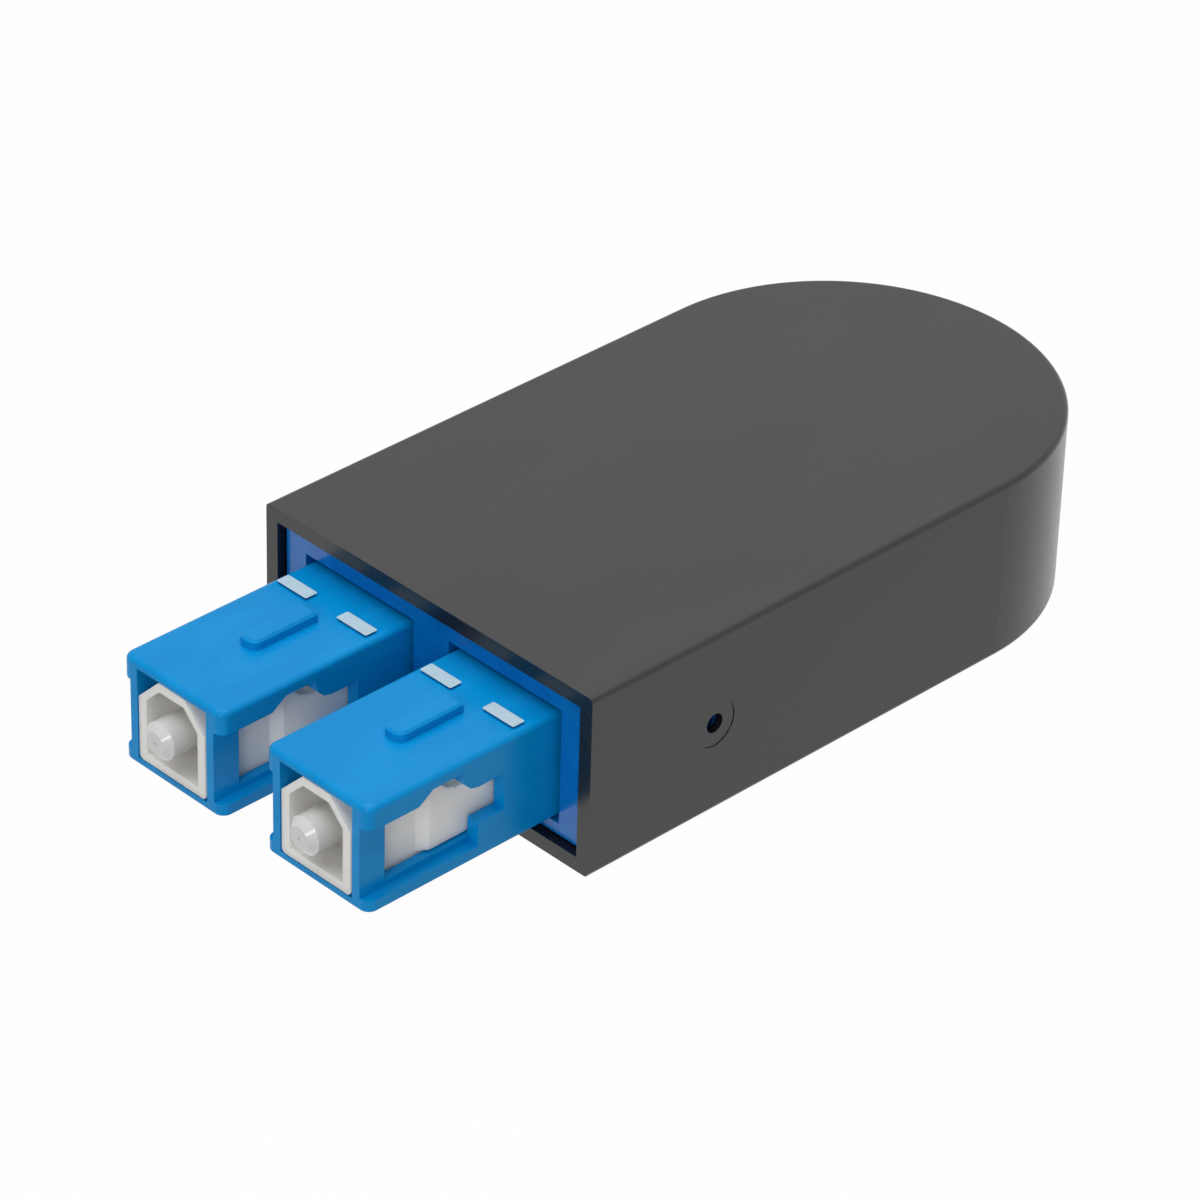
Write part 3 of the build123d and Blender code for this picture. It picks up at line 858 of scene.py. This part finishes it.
@dataclass
class FerruleBodies:
    """The two ferrules, with the flange and the guide tube pressed on each."""

    flange: Finish = TurnedMetal(
        "turned_nickel", (0.62, 0.60, 0.56), (0.50, 0.48, 0.44), 0.26, ring=0.07 * MM
    )
    tube: Finish = SoftTube(
        "milky_tube", (0.74, 0.75, 0.76), (0.84, 0.84, 0.83), 0.30, dust=0.3
    )

    def build(self) -> None:
        """Dress both ferrules, with each fibre's end on its ferrule's own axis."""
        low, high = box_ends(Piece.FERRULE, Side.RIGHT)
        middle = (low + high) / 2
        ceramic = PolishedZirconia("polished_zirconia", abs(middle.x), middle.z)
        for side in Side:
            dress(Piece.FERRULE, ceramic, side)
            dress(Piece.FLANGE, self.flange, side)
            dress(Piece.TUBE, self.tube, side)


@dataclass(frozen=True)
class Softbox:
    """A soft square lamp that looks at the plug.

    Attributes:
        name: the lamp's name.
        place: where it stands, in metres.
        width: its width and height, in metres.
        glow: how bright its face is, where 1 is white.
    """

    name: str
    place: Point
    width: float
    glow: float

    def light(self, target: Vector) -> None:
        """Hang the lamp and point it at the target."""
        lamp = bpy.data.lights.new(self.name, "AREA")
        lamp.shape = "SQUARE"
        lamp.size = self.width
        lamp.energy = self.glow * math.pi * self.width**2
        holder = bpy.data.objects.new(self.name, lamp)
        holder.location = self.place
        holder.rotation_euler = (target - Vector(self.place)).to_track_quat("-Z", "Y").to_euler()
        bpy.context.scene.collection.objects.link(holder)


@dataclass(frozen=True)
class Viewpoint:
    """The camera's stand, given as where it is and how it looks.

    Attributes:
        place: the camera's place, in metres.
        azimuth: the angle round the plug, in degrees, 0 straight in front of the connectors.
        elevation: the angle above the floor, in degrees.
        roll: its tilt about its own line of sight, in degrees.
        lens: its focal length, in millimetres.
        sensor: the width of its sensor, in millimetres.
        near: the nearest that it sees, in metres.
        far: the furthest that it sees, in metres.
    """

    place: Point = (0.20613, -0.20697, 0.19709)
    azimuth: float = 45.220
    elevation: float = 33.321
    roll: float = 1.716
    lens: float = 171.52
    sensor: float = 36.0
    near: float = 0.01
    far: float = 10.0

    def stand(self) -> None:
        """Put the camera up and make it the scene's."""
        turns = (self.azimuth, self.elevation, self.roll)
        around, above, tilt = (math.radians(turn) for turn in turns)
        reach = math.cos(above)
        back = Vector((math.sin(around) * reach, -math.cos(around) * reach, math.sin(above)))
        level = Vector((math.cos(around), math.sin(around), 0.0))
        upright = back.cross(level)
        right = math.cos(tilt) * level + math.sin(tilt) * upright
        up = -math.sin(tilt) * level + math.cos(tilt) * upright
        data = bpy.data.cameras.new("studio_camera")
        data.sensor_fit = "HORIZONTAL"
        data.sensor_width = self.sensor
        data.lens = self.lens
        data.clip_start = self.near
        data.clip_end = self.far
        camera = bpy.data.objects.new("studio_camera", data)
        turned = Matrix((right, up, back)).transposed().to_4x4()
        camera.matrix_world = Matrix.Translation(self.place) @ turned
        bpy.context.scene.collection.objects.link(camera)
        bpy.context.scene.camera = camera


@dataclass
class Studio:
    """The floor, the soft lamps, the room's own light and the camera.

    Attributes:
        ambient: the room's light on the plug, where 1 alone lights a colour as it is written.
        floor_width: the floor's width, in metres.
        floor_drop: the floor's depth below the plug, which keeps the two apart.
        floor_tone: how pale the floor is to the lamps' light.
        floor_glow: how much of the floor's white it has without the lamps.
        lamps: the soft lamps.
        viewpoint: the camera's stand.
    """

    ambient: float = 0.17
    floor_width: float = 6.0
    floor_drop: float = 0.05 * MM
    floor_tone: float = 0.62
    floor_glow: float = 0.98
    lamps: tuple[Softbox, ...] = (
        Softbox("overhead_softbox", (-0.05, 0.0, 0.75), 0.80, 2.75),
        Softbox("front_softbox", (0.40, -0.82, 0.38), 0.40, 6.2),
    )
    viewpoint: Viewpoint = Viewpoint()

    @staticmethod
    def _seen_white(bench: Bench) -> Signal:
        """A mask of the rays that meet plain white: straight, mirrored and through glass."""
        path = bench.node("ShaderNodeLightPath")
        kinds = ("Is Camera Ray", "Is Glossy Ray", "Is Transmission Ray")
        straight, mirrored, through = (Signal(bench, path.outputs[kind]) for kind in kinds)
        return straight.larger(mirrored).larger(through)

    def room(self) -> None:
        """Light the room evenly, with plain white wherever it is seen."""
        world = bpy.data.worlds.new("studio_room")
        bpy.context.scene.world = world
        world.use_nodes = True
        bench = Bench(world.node_tree)
        strength = self.ambient + self._seen_white(bench) * (1.0 - self.ambient)
        sky = bench.node("ShaderNodeBackground", {}, {"Color": WHITE, "Strength": strength})
        bench.node("ShaderNodeOutputWorld", {}, {"Surface": sky.outputs[0]})

    def floor(self) -> None:
        """Lay the pale floor under the plug; it keeps the plug's shadow."""
        half = self.floor_width / 2
        mesh = bpy.data.meshes.new("studio_floor")
        corners = [(-half, -half, 0.0), (half, -half, 0.0), (half, half, 0.0), (-half, half, 0.0)]
        mesh.from_pydata(corners, [], [(0, 1, 2, 3)])
        floor = bpy.data.objects.new("studio_floor", mesh)
        floor.location.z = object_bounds()[0][2] - self.floor_drop
        bpy.context.scene.collection.objects.link(floor)
        material = bpy.data.materials.new("studio_floor")
        material.use_nodes = True
        bench = Bench(material.node_tree)
        tone = (self.floor_tone, self.floor_tone, self.floor_tone, 1.0)
        card = bench.node("ShaderNodeBsdfDiffuse", {}, {"Color": tone})
        white = bench.node("ShaderNodeEmission", {}, {"Color": WHITE, "Strength": 1.0})
        share = self._seen_white(bench) * self.floor_glow
        sides = {0: share, 1: card.outputs[0], 2: white.outputs[0]}
        top = bench.node("ShaderNodeMixShader", {}, sides)
        bench.node("ShaderNodeOutputMaterial", {}, {"Surface": top.outputs[0]})
        mesh.materials.append(material)
        floor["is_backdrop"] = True

    def build(self) -> None:
        """Set up the whole studio."""
        bpy.context.scene.view_settings.view_transform = "Standard"
        low, high = (Vector(end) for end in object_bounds())
        for lamp in self.lamps:
            lamp.light((low + high) / 2)
        self.room()
        self.floor()
        self.viewpoint.stand()
        LOG.info("studio ready with %d lamps", len(self.lamps))


def main() -> None:
    """Dress the plug, add its marks and springs and set up the studio."""
    logging.basicConfig(level=logging.INFO, format="%(name)s: %(message)s")
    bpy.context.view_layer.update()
    LoopHousing().build()
    ConnectorSleeves().build()
    FloatingPlugs().build()
    FerruleBodies().build()
    Studio().build()


if __name__ == "__main__":
    main()
